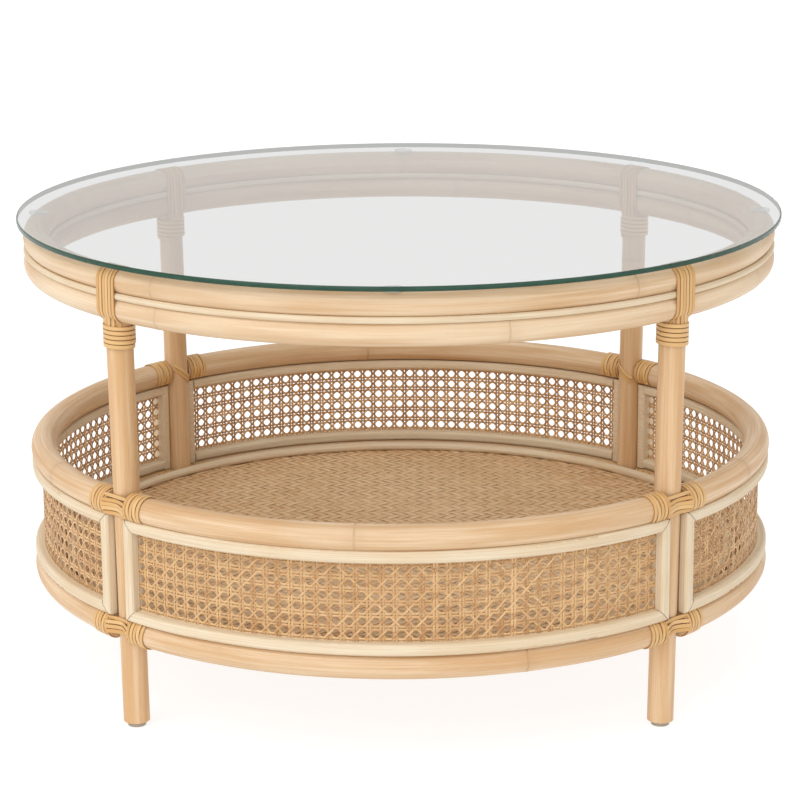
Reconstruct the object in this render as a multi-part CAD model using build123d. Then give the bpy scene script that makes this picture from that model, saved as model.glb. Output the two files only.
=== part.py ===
from build123d import *
import math
import os

# Round coffee table of rattan poles: a loose glass top on two stacked hoops, four poles for
# legs, and a low basket with cane webbing sides and a woven floor.
# Millimetres. Origin on the floor under the middle of the table, +Z up, front towards -Y.

# Overall sizes
glass_diameter = 800.0
table_height = 480.0
basket_top_rail_z = 233.0
basket_floor_rail_z = 105.8

# Poles
rail_pole_d = 27.0
leg_pole_d = 26.5
glass_overhang = 6.3
leg_top_inset = 1.6
leg_foot_inset = 8.4
leg_end_round = 1.5
leg_saddle_depth = 5.0
rail_end_offset = 10.5
splice_gap = 0.3
splice_turn = 1.2

# Glass and its pads
glass_thickness = 5.0
glass_edge_round = 1.2
pad_d = 21.0
pad_thickness = 2.5
glass_wrap_gap = 0.3

# Thin canes laid in the grooves between the two hoops
groove_cane_d = 6.6

# Cane webbing panels and their strips
webbing_offset = 2.6
webbing_thickness = 1.2
webbing_leg_gap = 1.0
webbing_edge_gap = 1.0
outer_strip_width = 12.0
outer_strip_depth = 9.8
outer_upright_offset = 12.2
outer_strip_nest_top = 3.2
outer_strip_nest_bottom = 1.1
inner_strip_width = 10.8
inner_strip_depth = 9.8
inner_strip_gap = 0.2
strip_round = 3.6

# Basket floor
board_thickness = 6.0
board_wrap_gap = 0.4
board_rise = 5.2
mat_thickness = 2.0
bead_d = 9.5
bead_flat = 0.6
bead_leg_gap = 0.35
notch_gap = 2.2
crossbar_width = 38.0
crossbar_thickness = 10.0

# Bindings of split cane peel
peel_thickness = 1.6
hoop_strap_width = 28.0
collar_height = 24.0
collar_thickness = 3.2
rail_wrap_start = 15.0
rail_wrap_length = 24.0
rail_wrap_gap = 0.35
leg_patch_height = 21.0
leg_patch_turn = 49.0
cross_strap_width = 9.0
cross_strap_tilt = 40.0

# Feet
glide_d = 18.5
glide_height = 5.5
glide_round = 1.2

# Screws and nails
screw_shank_d = 3.5
screw_head_d = 7.0
screw_head_h = 2.5
rail_screw_length = 32.0
rail_screw_angle = 52.0
rail_screw_rise = 4.5
rail_screw_side = 4.0
rail_screw_sink = 4.6
leg_screw_length = 50.0
leg_screw_sink = 3.0
leg_screw_offset = 1.0
hoop_screw_bite = 14.0
hoop_screw_sink = 1.0
hoop_screw_count = 8
hoop_screw_inset = 0.7
crossbar_screw_reach = 22.0
crossbar_screw_angle = 12.0
crossbar_screw_length = 38.0
board_screw_tip_gap = 2.7
board_screw_sink = 0.8
board_screw_radii = (110.0, 210.0, 300.0)
nail_shank_d = 2.4
nail_head_d = 7.0
nail_head_h = 1.4
nail_length = 20.0
nail_sink = 1.0

# Clearances
scribe_gap = 0.1
wrap_gap = 0.1
hole_gap = 0.1

# Places that follow from the sizes above
rail_r = rail_pole_d / 2
leg_r = leg_pole_d / 2
glass_bottom_z = table_height - glass_thickness
hoop_radius = glass_diameter / 2 - glass_overhang - rail_r
upper_hoop_z = glass_bottom_z - glass_wrap_gap - peel_thickness - wrap_gap - rail_r
lower_hoop_z = upper_hoop_z - rail_pole_d - scribe_gap
hoop_screw_length = rail_pole_d + hoop_screw_bite - hoop_screw_sink
leg_foot_radius = hoop_radius - leg_foot_inset
leg_top_radius = hoop_radius - leg_top_inset
leg_top_z = lower_hoop_z - rail_r + leg_saddle_depth
lean_per_mm = (leg_top_radius - leg_foot_radius) / leg_top_z

webbing_inner = hoop_radius + webbing_offset - webbing_thickness / 2
webbing_outer = webbing_inner + webbing_thickness
basket_open_low = basket_floor_rail_z + rail_r
basket_open_high = basket_top_rail_z - rail_r

board_top_z = basket_floor_rail_z + board_rise
mat_top_z = board_top_z + mat_thickness
board_bottom_z = board_top_z - board_thickness
crossbar_bottom_z = board_bottom_z - crossbar_thickness
board_screw_length = crossbar_thickness + board_thickness - board_screw_sink - board_screw_tip_gap
board_radius = hoop_radius - rail_r - rail_wrap_gap - peel_thickness - board_wrap_gap

SIDES = {"front": -90.0, "right": 0.0, "back": 90.0, "left": 180.0}
CORNERS = {"front_left": -135.0, "front_right": -45.0, "back_right": 45.0, "back_left": 135.0}
SCREW = (screw_shank_d, screw_head_d, screw_head_h)
NAIL = (nail_shank_d, nail_head_d, nail_head_h)
FAR = 1000.0
SEAT_ARC = 30.0
PANEL_ARC = 100.0


def leg_radius_at(z):
    return leg_foot_radius + lean_per_mm * z


bead_radius = leg_radius_at(mat_top_z) - leg_r - bead_leg_gap - bead_d / 2
leg_behind_webbing = webbing_inner - leg_radius_at(basket_top_rail_z)
webbing_end_offset = math.sqrt(max(leg_r**2 - leg_behind_webbing**2, 0.0)) + webbing_leg_gap


def turned(shape, angle):
    return Rot(0, 0, angle) * shape


def ring(radius, z, tube_radius):
    """A whole ring, closed on itself."""
    return Pos(0, 0, z) * Torus(radius, tube_radius)


def bend(radius, z, tube_radius, arc):
    """A pole bent round the table, half of its arc to each side of +X."""
    return sector(Plane.XZ * Pos(radius, z) * Circle(tube_radius), arc)


def block(x0, x1, y0, y1, z0, z1):
    centre = Pos((x0 + x1) / 2, (y0 + y1) / 2, (z0 + z1) / 2)
    return centre * Box(x1 - x0, y1 - y0, z1 - z0)


def disc(radius, z0, z1):
    return Pos(0, 0, z0) * Cylinder(radius, z1 - z0, align=(Align.CENTER, Align.CENTER, Align.MIN))


def sector(profile_face, angle):
    """A section in the XZ plane turned about Z, half of the angle to each side of +X."""
    return turned(revolve(profile_face, Axis.Z, revolution_arc=angle), -angle / 2)


def upright_section(x0, x1, z0, z1):
    centre = ((x0 + x1) / 2, (z0 + z1) / 2)
    return Plane.XZ * Pos(centre[0], centre[1], 0) * Rectangle(x1 - x0, z1 - z0)


def only(shape):
    """The solids of a result as one shape, with nothing loose beside them."""
    solids = shape.solids()
    if len(solids) == 1:
        return solids[0]
    return Compound(children=solids)


# Legs: poles that stand in the plane y = 0 and lean out a little towards the hoops.
def leg_pole(radius, z0, z1):
    foot = Vector(leg_radius_at(z0), 0, z0)
    top = Vector(leg_radius_at(z1), 0, z1)
    along = top - foot
    place = Plane(origin=foot, z_dir=along)
    pole = Cylinder(radius, along.length, align=(Align.CENTER, Align.CENTER, Align.MIN))
    return place * pole


def leg_cutter(angle=0.0):
    return turned(leg_pole(leg_r + scribe_gap, -rail_pole_d, leg_top_z + rail_pole_d), angle)


def make_leg():
    pole = leg_pole(leg_r, glide_height - rail_pole_d, leg_top_z + rail_pole_d)
    leg = pole & block(0, FAR, -FAR, FAR, glide_height, leg_top_z)
    end = leg.edges().sort_by(Axis.Z)[0]
    leg = fillet(end, leg_end_round)
    leg -= bend(hoop_radius, lower_hoop_z, rail_r + scribe_gap, SEAT_ARC)
    leg -= leg_screw(hole_gap)
    for rail_z in (basket_top_rail_z, basket_floor_rail_z):
        for side in (-1, 1):
            leg -= rail_screw(rail_z, side, hole_gap)
    leg -= glide_nail(hole_gap)
    return only(leg)


def make_glide():
    glide = disc(glide_d / 2, 0, glide_height)
    glide = fillet(glide.edges().sort_by(Axis.Z)[0], glide_round)
    glide = Pos(leg_radius_at(glide_height), 0, 0) * glide
    return only(glide - glide_nail(hole_gap))


# Screws and nails. With a gap the same call makes the hole, with a pocket above the head.
def fastener(head_point, direction, length, kind, gap, pocket):
    shank_d, head_d, head_h = kind
    frame = Plane(origin=head_point, z_dir=direction)
    up = (Align.CENTER, Align.CENTER, Align.MIN)
    head = Cylinder(head_d / 2 + gap, head_h + gap, align=up)
    shank = Cylinder(shank_d / 2 + gap, length + gap, align=up)
    shape = head + shank
    if gap:
        shape += Pos(0, 0, -pocket) * Cylinder(head_d / 2 + gap, pocket + head_h, align=up)
    return frame * shape


def rail_screw(rail_z, side, gap=0.0):
    turn = math.radians(rail_screw_angle)
    z = rail_z + side * rail_screw_rise
    start = Vector(leg_radius_at(z) - leg_r + rail_screw_sink, side * rail_screw_side, z)
    aim = Vector(math.cos(turn), side * math.sin(turn), 0)
    return fastener(start, aim, rail_screw_length, SCREW, gap, leg_r)


def leg_screw(gap=0.0):
    across = leg_radius_at(leg_top_z) - leg_screw_offset
    chord = math.sqrt(rail_r**2 - (hoop_radius - across) ** 2)
    start = Vector(across, 0, lower_hoop_z + chord - leg_screw_sink)
    down = Vector(0, 0, -1)
    return fastener(start, down, leg_screw_length, SCREW, gap, rail_r)


def hoop_screw(gap=0.0):
    start = Vector(hoop_radius - hoop_screw_inset, 0, lower_hoop_z - rail_r + hoop_screw_sink)
    up = Vector(0, 0, 1)
    return fastener(start, up, hoop_screw_length, SCREW, gap, rail_r)


def hoop_screw_angles():
    step = 360.0 / hoop_screw_count
    return [step * (n + 0.5) for n in range(hoop_screw_count)]


def glide_nail(gap=0.0):
    start = Vector(leg_radius_at(glide_height), 0, nail_sink)
    up = Vector(0, 0, 1)
    return fastener(start, up, nail_length, NAIL, gap, glide_height)


def crossbar_screw(gap=0.0):
    rise = math.radians(crossbar_screw_angle)
    start = Vector(hoop_radius - rail_r - crossbar_screw_reach, 0, crossbar_bottom_z + screw_head_d / 2)
    aim = Vector(math.cos(rise), 0, math.sin(rise))
    return fastener(start, aim, crossbar_screw_length, SCREW, gap, 2 * rail_r)


def board_screw(radius, gap=0.0):
    start = Vector(radius, 0, crossbar_bottom_z + board_screw_sink)
    up = Vector(0, 0, 1)
    return fastener(start, up, board_screw_length, SCREW, gap, rail_r)


# Glass and pads
def make_glass():
    glass = disc(glass_diameter / 2, glass_bottom_z, table_height)
    return only(fillet(glass.edges(), glass_edge_round))


def make_pad():
    pad = Pos(hoop_radius, 0, 0) * disc(pad_d / 2, glass_bottom_z - pad_thickness, glass_bottom_z)
    return only(pad - bend(hoop_radius, upper_hoop_z, rail_r + scribe_gap, SEAT_ARC))


# Hoops: each is one pole bent to a full circle, its splice covered by a binding.
def hoop_pole(z, splice_angle):
    gap_turn = math.degrees(splice_gap / hoop_radius)
    return turned(bend(hoop_radius, z, rail_r, 360.0 - gap_turn), splice_angle + 180.0)


def make_upper_hoop():
    hoop = hoop_pole(upper_hoop_z, CORNERS["back_right"] + splice_turn)
    for angle in hoop_screw_angles():
        hoop -= turned(hoop_screw(hole_gap), angle)
    return only(hoop)


def make_lower_hoop():
    hoop = hoop_pole(lower_hoop_z, CORNERS["back_left"] + splice_turn)
    for angle in hoop_screw_angles():
        hoop -= turned(hoop_screw(hole_gap), angle)
    for angle in CORNERS.values():
        hoop -= turned(leg_screw(hole_gap), angle)
    return only(hoop)


def make_groove_cane(side):
    half_spacing = (upper_hoop_z - lower_hoop_z) / 2
    seat = rail_r + groove_cane_d / 2 + scribe_gap
    offset = math.sqrt(seat**2 - half_spacing**2)
    return only(ring(hoop_radius + side * offset, upper_hoop_z - half_spacing, groove_cane_d / 2))


# Basket rails: each runs from leg to leg, with its ends cut to the legs.
def make_rail(rail_z):
    rail = bend(hoop_radius, rail_z, rail_r, PANEL_ARC) & quarter_wedge(rail_end_offset)
    for corner in (-45.0, 45.0):
        rail -= leg_cutter(corner)
        for side in (-1, 1):
            rail -= turned(rail_screw(rail_z, side, hole_gap), corner)
    if rail_z == basket_floor_rail_z:
        rail -= crossbar_screw(hole_gap)
    return only(rail)


def quarter_wedge(offset):
    """What lies between the two legs beside +X, less an offset from the middle of each leg."""
    half_plane = block(-FAR, FAR, -FAR, -offset, -FAR, FAR)
    low_side = block(-FAR, FAR, offset, FAR, -FAR, FAR)
    return turned(half_plane, 45.0) & turned(low_side, -45.0)


# Panels: webbing held between strips outside and strips inside.
def panel_angle(offset, radius):
    """Turn from the middle of the panel to a line that stands an offset away from the leg."""
    return 45.0 - math.degrees(math.asin(offset / radius))


def make_webbing():
    low = basket_open_low + webbing_edge_gap
    high = basket_open_high - webbing_edge_gap
    section = upright_section(webbing_inner, webbing_outer, low, high)
    return only(sector(section, 2 * panel_angle(webbing_end_offset, webbing_inner)))


def strip_section(depth, width):
    """Strip profile, flat at x = 0 against the webbing and rounded towards +x."""
    face = Pos(depth / 2, 0, 0) * Rectangle(depth, width)
    outer = face.vertices().sort_by(Axis.X)[2:]
    return fillet(outer, strip_round)


def mitre_half(angle, z, slope, under=False):
    """All that lies above, or under, a 45 degree cut through a frame corner at this height."""
    reach = (-FAR, 0) if under else (0, FAR)
    corner = Pos(0, 0, z) * Rot(slope * 45.0, 0, 0) * block(-FAR, FAR, -FAR, FAR, *reach)
    return turned(corner, angle)


def scribed(strip):
    """Cut a strip away where it meets the round of a rail or a leg."""
    for rail_z in (basket_top_rail_z, basket_floor_rail_z):
        strip = strip - bend(hoop_radius, rail_z, rail_r + scribe_gap, PANEL_ARC)
    for corner in (-45.0, 45.0):
        strip = strip - leg_cutter(corner)
    return only(strip)


def make_outer_frame():
    low = basket_open_low - outer_strip_nest_bottom
    high = basket_open_high + outer_strip_nest_top
    outside = webbing_outer + outer_strip_depth
    end_turn = panel_angle(outer_upright_offset, outside)
    upright_turn = panel_angle(outer_upright_offset + outer_strip_width / 2, outside)
    section = strip_section(outer_strip_depth, outer_strip_width)
    above = mitre_half(-end_turn, high, -1) & mitre_half(end_turn, high, 1)
    below = mitre_half(-end_turn, low, 1, under=True) & mitre_half(end_turn, low, -1, under=True)
    bottom = sector(Plane.XZ * Pos(webbing_outer, low + outer_strip_width / 2, 0) * section, 2 * end_turn)
    top = sector(Plane.XZ * Pos(webbing_outer, high - outer_strip_width / 2, 0) * section, 2 * end_turn)
    upright = extrude(Pos(webbing_outer, 0, low) * section, high - low)
    strips = [bottom & below, top & above]
    for turn in (-upright_turn, upright_turn):
        strips.append(turned(upright, turn) - above - below)
    return only(Compound(children=[scribed(strip) for strip in strips]))


def make_inner_frame():
    low = basket_open_low + inner_strip_gap
    high = basket_open_high - inner_strip_gap
    section = mirror(strip_section(inner_strip_depth, inner_strip_width), Plane.YZ)
    middle = webbing_inner - inner_strip_depth / 2
    upright_edge = leg_r + 2 * inner_strip_gap
    upright_turn = panel_angle(upright_edge + inner_strip_width / 2, middle)
    end_turn = panel_angle(upright_edge + inner_strip_width + inner_strip_gap, middle)
    bottom = sector(Plane.XZ * Pos(webbing_inner, low + inner_strip_width / 2, 0) * section, 2 * end_turn)
    top = sector(Plane.XZ * Pos(webbing_inner, high - inner_strip_width / 2, 0) * section, 2 * end_turn)
    upright = extrude(Pos(webbing_inner - scribe_gap, 0, low) * section, high - low)
    strips = [bottom, top, turned(upright, -upright_turn), turned(upright, upright_turn)]
    return only(Compound(children=[scribed(strip) for strip in strips]))


# Basket floor: a plywood disc on two crossed bars, a woven mat on it, and a round bead on the mat.
def notched(sheet):
    notch = Pos(leg_radius_at(board_top_z), 0, 0) * disc(leg_r + notch_gap, 0, basket_top_rail_z)
    for angle in CORNERS.values():
        sheet = sheet - turned(notch, angle)
    return only(sheet)


def make_board():
    board = notched(disc(board_radius, board_bottom_z, board_top_z))
    for angle in SIDES.values():
        for radius in board_screw_radii:
            board -= turned(board_screw(radius, hole_gap), angle)
    return only(board)


def make_mat():
    return notched(disc(board_radius, board_top_z, mat_top_z))


def make_bead():
    bead = ring(bead_radius, mat_top_z + bead_d / 2 - bead_flat, bead_d / 2)
    return only(bead - disc(FAR, mat_top_z - bead_d, mat_top_z))


def make_crossbar(upper):
    half = crossbar_width / 2
    middle_z = (crossbar_bottom_z + board_bottom_z) / 2
    bar = block(-hoop_radius, hoop_radius, -half, half, crossbar_bottom_z, board_bottom_z)
    for angle in (0.0, 180.0):
        bar -= turned(bend(hoop_radius, basket_floor_rail_z, rail_r + scribe_gap, SEAT_ARC), angle)
    if upper:
        bar -= block(-half, half, -half, half, crossbar_bottom_z, middle_z)
    else:
        bar -= block(-half, half, -half, half, middle_z, board_bottom_z)
    for angle in (0.0, 180.0):
        bar -= turned(crossbar_screw(hole_gap), angle)
        for radius in board_screw_radii:
            bar -= turned(board_screw(radius, hole_gap), angle)
    return only(bar)


# Bindings: bands of split peel, drawn here as plain sleeves and straps.
def sleeve(inner, thickness, z0, z1):
    outer_pole = leg_pole(inner + thickness, z0 - rail_pole_d, z1 + rail_pole_d)
    hollow = leg_pole(inner, z0 - 2 * rail_pole_d, z1 + 2 * rail_pole_d)
    return (outer_pole - hollow) & block(0, FAR, -FAR, FAR, z0, z1)


def capsule(radius):
    upper = Pos(hoop_radius, upper_hoop_z) * Circle(radius)
    lower = Pos(hoop_radius, lower_hoop_z) * Circle(radius)
    middle = Pos(hoop_radius, (upper_hoop_z + lower_hoop_z) / 2) * Rectangle(2 * radius, rail_pole_d)
    return upper + lower + middle


def make_hoop_binding():
    inner = rail_r + wrap_gap
    end_z = leg_top_z + wrap_gap
    band = capsule(inner + peel_thickness) - capsule(inner)
    keep = Pos(hoop_radius, end_z + FAR / 2) * Rectangle(FAR, FAR)
    turn = 2 * math.degrees(math.asin(hoop_strap_width / 2 / hoop_radius))
    strap = sector(Plane.XZ * (band & keep), turn)
    collar_top = lower_hoop_z - rail_r - 2 * wrap_gap
    collar = sleeve(leg_r + wrap_gap, collar_thickness, collar_top - collar_height, collar_top)
    return only(Compound(children=[strap, collar]))


def make_rail_binding(rail_z, floor):
    if floor:
        low = rail_z - FAR
        high = basket_open_low - outer_strip_nest_bottom - 2 * inner_strip_gap
    else:
        low = basket_open_high + outer_strip_nest_top + 2 * inner_strip_gap
        high = rail_z + FAR
    inner = rail_r + rail_wrap_gap
    wrap = Cylinder(inner + peel_thickness, rail_wrap_length) - Cylinder(inner, rail_wrap_length)
    middle = rail_wrap_start + rail_wrap_length / 2
    turn = math.degrees(math.asin(middle / hoop_radius))
    lying = Pos(hoop_radius, 0, rail_z) * Rot(90.0, 0, 0) * wrap
    pieces = []
    for angle in (-turn, turn):
        sheath = turned(lying, angle) & block(0, FAR, -FAR, FAR, low, high)
        pieces.append(sheath - leg_cutter())
    patch_low = max(rail_z - leg_patch_height / 2, low)
    patch_high = min(rail_z + leg_patch_height / 2, high)
    reach = rail_end_offset - 2 * wrap_gap
    patch = sleeve(leg_r + wrap_gap, peel_thickness, patch_low, patch_high)
    pieces.append(patch & block(leg_radius_at(rail_z), FAR, -reach, reach, low, high))
    if not floor:
        pieces.append(make_cross_strap(rail_z))
    return only(Compound(children=pieces))


def make_cross_strap(rail_z):
    axis_x = leg_radius_at(rail_z)
    reach = leg_r * math.sin(math.radians(leg_patch_turn))
    half = cross_strap_width / 2
    ribbon = sleeve(leg_r + wrap_gap, peel_thickness, rail_z - rail_pole_d, rail_z + rail_pole_d)
    slant = Pos(0, 0, rail_z) * Rot(cross_strap_tilt, 0, 0) * block(0, axis_x, -FAR, FAR, -half, half)
    return (ribbon & slant) & block(0, axis_x, -reach, reach, 0, FAR)


# Writing the parts
def write(name, shape):
    shape.label = name
    export_step(shape, f"parts/{name}.step")


def at_corners(piece):
    return {corner: turned(piece, angle) for corner, angle in CORNERS.items()}


def at_sides(piece):
    return {side: turned(piece, angle) for side, angle in SIDES.items()}


def group(pieces):
    return Compound(children=list(pieces))


def write_table():
    os.makedirs("parts", exist_ok=True)
    write("glass_top", make_glass())
    write("top_hoop_upper", make_upper_hoop())
    write("top_hoop_lower", make_lower_hoop())
    write("groove_cane_outer", make_groove_cane(1))
    write("groove_cane_inner", make_groove_cane(-1))
    write("shelf_board", make_board())
    write("shelf_mat", make_mat())
    write("shelf_bead", make_bead())
    write("shelf_crossbar_lower", make_crossbar(upper=False))
    write("shelf_crossbar_upper", turned(make_crossbar(upper=True), 90.0))
    corner_pieces = {
        "leg": make_leg(),
        "foot_glide": make_glide(),
        "hoop_binding": make_hoop_binding(),
        "top_rail_binding": make_rail_binding(basket_top_rail_z, floor=False),
        "floor_rail_binding": make_rail_binding(basket_floor_rail_z, floor=True),
    }
    for name, piece in corner_pieces.items():
        for corner, placed in at_corners(piece).items():
            write(f"{name}_{corner}", placed)
    side_pieces = {
        "glass_pad": make_pad(),
        "basket_top_rail": make_rail(basket_top_rail_z),
        "basket_floor_rail": make_rail(basket_floor_rail_z),
        "cane_panel": make_webbing(),
        "outer_frame": make_outer_frame(),
        "inner_frame": make_inner_frame(),
    }
    for name, piece in side_pieces.items():
        for side, placed in at_sides(piece).items():
            write(f"{name}_{side}", placed)
    write("leg_top_screws", group(turned(leg_screw(), angle) for angle in CORNERS.values()))
    write("glide_nails", group(turned(glide_nail(), angle) for angle in CORNERS.values()))
    write("hoop_screws", group(turned(hoop_screw(), angle) for angle in hoop_screw_angles()))
    rail_screws = []
    for angle in CORNERS.values():
        for rail_z in (basket_top_rail_z, basket_floor_rail_z):
            rail_screws += [turned(rail_screw(rail_z, side), angle) for side in (-1, 1)]
    write("rail_screws", group(rail_screws))
    write("crossbar_screws", group(turned(crossbar_screw(), angle) for angle in SIDES.values()))
    board_screws = []
    for angle in SIDES.values():
        board_screws += [turned(board_screw(radius), angle) for radius in board_screw_radii]
    write("board_screws", group(board_screws))


write_table()
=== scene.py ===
import math

import bpy
import numpy as np
from mathutils import Matrix, Vector


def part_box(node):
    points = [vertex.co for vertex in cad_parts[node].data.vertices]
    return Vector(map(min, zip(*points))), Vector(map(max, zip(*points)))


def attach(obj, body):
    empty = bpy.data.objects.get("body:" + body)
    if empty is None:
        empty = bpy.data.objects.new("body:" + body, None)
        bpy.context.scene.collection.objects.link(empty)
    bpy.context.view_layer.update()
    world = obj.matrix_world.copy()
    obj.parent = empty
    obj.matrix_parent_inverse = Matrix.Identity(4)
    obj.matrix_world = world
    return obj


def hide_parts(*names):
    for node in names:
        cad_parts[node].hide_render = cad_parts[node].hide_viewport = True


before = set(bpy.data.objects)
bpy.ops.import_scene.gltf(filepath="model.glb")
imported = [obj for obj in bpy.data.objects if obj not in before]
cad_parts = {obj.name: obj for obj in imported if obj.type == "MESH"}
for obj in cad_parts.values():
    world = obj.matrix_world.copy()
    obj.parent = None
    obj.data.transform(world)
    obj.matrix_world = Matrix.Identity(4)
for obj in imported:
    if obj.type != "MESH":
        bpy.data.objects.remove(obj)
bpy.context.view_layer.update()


# The studio: a white floor that runs out of sight, an even white sky and one broad soft sun.
# The camera stands in front of the table, a little over twice its height from the floor.
class Thread:
    """A socket that sums like a number. Each operator adds a Math node to the socket's tree."""

    def __init__(self, socket):
        self.socket = socket

    def sum(self, operation, *terms):
        return tie(self.socket.id_data, "ShaderNodeMath", {"operation": operation}, terms)[0]

    def __add__(self, other):
        return self.sum("ADD", self, other)

    def __sub__(self, other):
        return self.sum("SUBTRACT", self, other)

    def __rsub__(self, other):
        return self.sum("SUBTRACT", other, self)

    def __mul__(self, other):
        return self.sum("MULTIPLY", self, other)

    def __truediv__(self, other):
        return self.sum("DIVIDE", self, other)

    __radd__ = __add__
    __rmul__ = __mul__


class Knot:
    """A node. knot[0] or knot["Color"] is one of its outputs as a Thread."""

    def __init__(self, node):
        self.node = node

    def __getitem__(self, key):
        return Thread(self.node.outputs[key])


def tie(tree, kind, settings=None, inputs=()):
    """Add a node: its settings first, then values or threads for its sockets by place or by name."""
    node = tree.nodes.new(kind)
    for name, value in (settings or {}).items():
        if name == "stops":
            ramp = node.color_ramp
            while len(ramp.elements) < len(value):
                ramp.elements.new(0.5)
            for element, (place, colour) in zip(ramp.elements, value):
                element.position = place
                element.color = (*colour, 1.0)
        else:
            setattr(node, name, value)
    for key, value in inputs.items() if isinstance(inputs, dict) else enumerate(inputs):
        if isinstance(value, Thread):
            tree.links.new(value.socket, node.inputs[key])
        else:
            node.inputs[key].default_value = value
    return Knot(node)


def start_finish(name):
    material = bpy.data.materials.new(name)
    material.use_nodes = True
    return material, material.node_tree


def give_finish(tree, **inputs):
    """Values and threads for the surface's own sockets, named with _ for a space."""
    surface = tree.nodes["Principled BSDF"]
    for name, value in inputs.items():
        socket = surface.inputs[name.replace("_", " ")]
        if isinstance(value, Thread):
            tree.links.new(value.socket, socket)
        else:
            socket.default_value = value


def grain(tree, place, scale, detail=2.0, roughness=0.5, warp=0.0):
    sockets = {"Vector": place, "Scale": scale, "Detail": detail, "Roughness": roughness, "Distortion": warp}
    return tie(tree, "ShaderNodeTexNoise", {}, sockets)["Fac"]


def spot_on(tree):
    """The place on the object, in metres."""
    return tie(tree, "ShaderNodeTexCoord")["Object"]


def stretch(tree, place, x, y, z):
    return tie(tree, "ShaderNodeVectorMath", {"operation": "MULTIPLY"}, [place, (x, y, z)])[0]


def between(tree, value, low, high, start=0.0, end=1.0):
    """The value eased from start to end as it passes from low to high."""
    eased = {"interpolation_type": "SMOOTHSTEP"}
    return tie(tree, "ShaderNodeMapRange", eased, [value, low, high, start, end])[0]


def blend_colours(tree, share, first, second):
    sockets = {0: share, 6: first if isinstance(first, Thread) else (*first, 1.0)}
    sockets[7] = second if isinstance(second, Thread) else (*second, 1.0)
    return tie(tree, "ShaderNodeMix", {"data_type": "RGBA"}, sockets)[2]


def relief(tree, height, depth):
    return tie(tree, "ShaderNodeBump", {}, {"Strength": 1.0, "Distance": depth, "Height": height})["Normal"]


floor_reach = 40.0
floor_mesh = bpy.data.meshes.new("floor")
floor_corners = [(-1, -1), (1, -1), (1, 1), (-1, 1)]
floor_points = [(x * floor_reach, y * floor_reach, 0.0) for x, y in floor_corners]
floor_mesh.from_pydata(floor_points, [], [(0, 1, 2, 3)])
floor = bpy.data.objects.new("floor", floor_mesh)
bpy.context.scene.collection.objects.link(floor)
floor_paint, tree = start_finish("floor_paint")
place = spot_on(tree)
cloud = grain(tree, place, 3.0)
floor_colour = blend_colours(tree, cloud, (0.27, 0.27, 0.27), (0.28, 0.28, 0.28))
give_finish(tree, Base_Color=floor_colour, Roughness=0.9)
give_finish(tree, Specular_IOR_Level=0.1, Emission_Color=(1.0, 1.0, 1.0, 1.0), Emission_Strength=0.82)
floor_mesh.materials.append(floor_paint)

sky = bpy.data.worlds.new("studio_sky")
sky.use_nodes = True
sky.node_tree.nodes["Background"].inputs["Color"].default_value = (1.0, 0.995, 0.985, 1.0)
sky.node_tree.nodes["Background"].inputs["Strength"].default_value = 0.8
bpy.context.scene.world = sky
bpy.context.scene.view_settings.view_transform = "Standard"

for sun_name, sun_power, sun_width, sun_from in [
    ("broad_sun", 1.05, 50.0, (-0.55, -0.7, 1.0)),
    ("low_sun", 0.5, 70.0, (-0.25, -1.0, 0.35)),
]:
    sun = bpy.data.lights.new(sun_name, "SUN")
    sun.energy = sun_power
    sun.angle = math.radians(sun_width)
    lamp = bpy.data.objects.new(sun_name, sun)
    lamp.rotation_euler = Vector(sun_from).to_track_quat("Z", "Y").to_euler()
    bpy.context.scene.collection.objects.link(lamp)

camera_turn, camera_pitch, camera_roll = math.radians(0.83), math.radians(14.713), math.radians(-0.366)
camera_stand_off, camera_height, camera_lens = 2.8772, 1.0234, 124.75
level = Vector((math.cos(camera_turn), math.sin(camera_turn), 0.0))
ahead = Vector((-math.sin(camera_turn), math.cos(camera_turn), 0.0)) * math.cos(camera_pitch)
ahead.z = -math.sin(camera_pitch)
rise = level.cross(ahead)
across = level * math.cos(camera_roll) + rise * math.sin(camera_roll)
upward = rise * math.cos(camera_roll) - level * math.sin(camera_roll)
camera_lens_data = bpy.data.cameras.new("camera")
camera_lens_data.lens = camera_lens
camera_lens_data.sensor_width = 36.0
camera = bpy.data.objects.new("camera", camera_lens_data)
bpy.context.scene.collection.objects.link(camera)
stand = Vector((math.sin(camera_turn), -math.cos(camera_turn), 0.0)) * camera_stand_off
facing = Matrix((across, upward, -ahead)).transposed().to_4x4()
camera.matrix_world = Matrix.Translation((stand.x, stand.y, camera_height)) @ facing
bpy.context.scene.camera = camera


# The poles: two hoops, eight basket rails and four legs of peeled and sanded rattan, bent with
# steam. Each pole is round but never quite even, and swells a little at its growth joints.
def kept(tree, name, output="Fac"):
    """A value that the making of the mesh left on it under this name."""
    return tie(tree, "ShaderNodeAttribute", {"attribute_name": name})[output]


pole_finish, tree = start_finish("peeled_rattan_pole")
along = kept(tree, "along")
ring = kept(tree, "ring", "Vector")
joint = kept(tree, "joint")
tone = kept(tree, "tone")
fibre_shift = tie(tree, "ShaderNodeCombineXYZ", {}, [0.0, 0.0, along])[0]
fibre = tie(tree, "ShaderNodeVectorMath", {"operation": "ADD"}, [ring, fibre_shift])[0]
broad = grain(tree, stretch(tree, fibre, 1.4, 1.4, 5.0), 1.0, 3.0, 0.55)
streak = grain(tree, stretch(tree, fibre, 9.0, 9.0, 7.0), 1.0, 4.0, 0.6)
fine = grain(tree, stretch(tree, fibre, 34.0, 34.0, 60.0), 1.0, 3.0, 0.7)
fleck = grain(tree, stretch(tree, fibre, 16.0, 16.0, 90.0), 1.0, 2.0, 0.6)
off_joint = joint.sum("ABSOLUTE", joint)
joint_line = between(tree, off_joint + (streak - 0.5) * 0.0012, 0.0004, 0.0015, 1.0, 0.0)
joint_shade = between(tree, off_joint, 0.001, 0.016, 1.0, 0.0)
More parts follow.
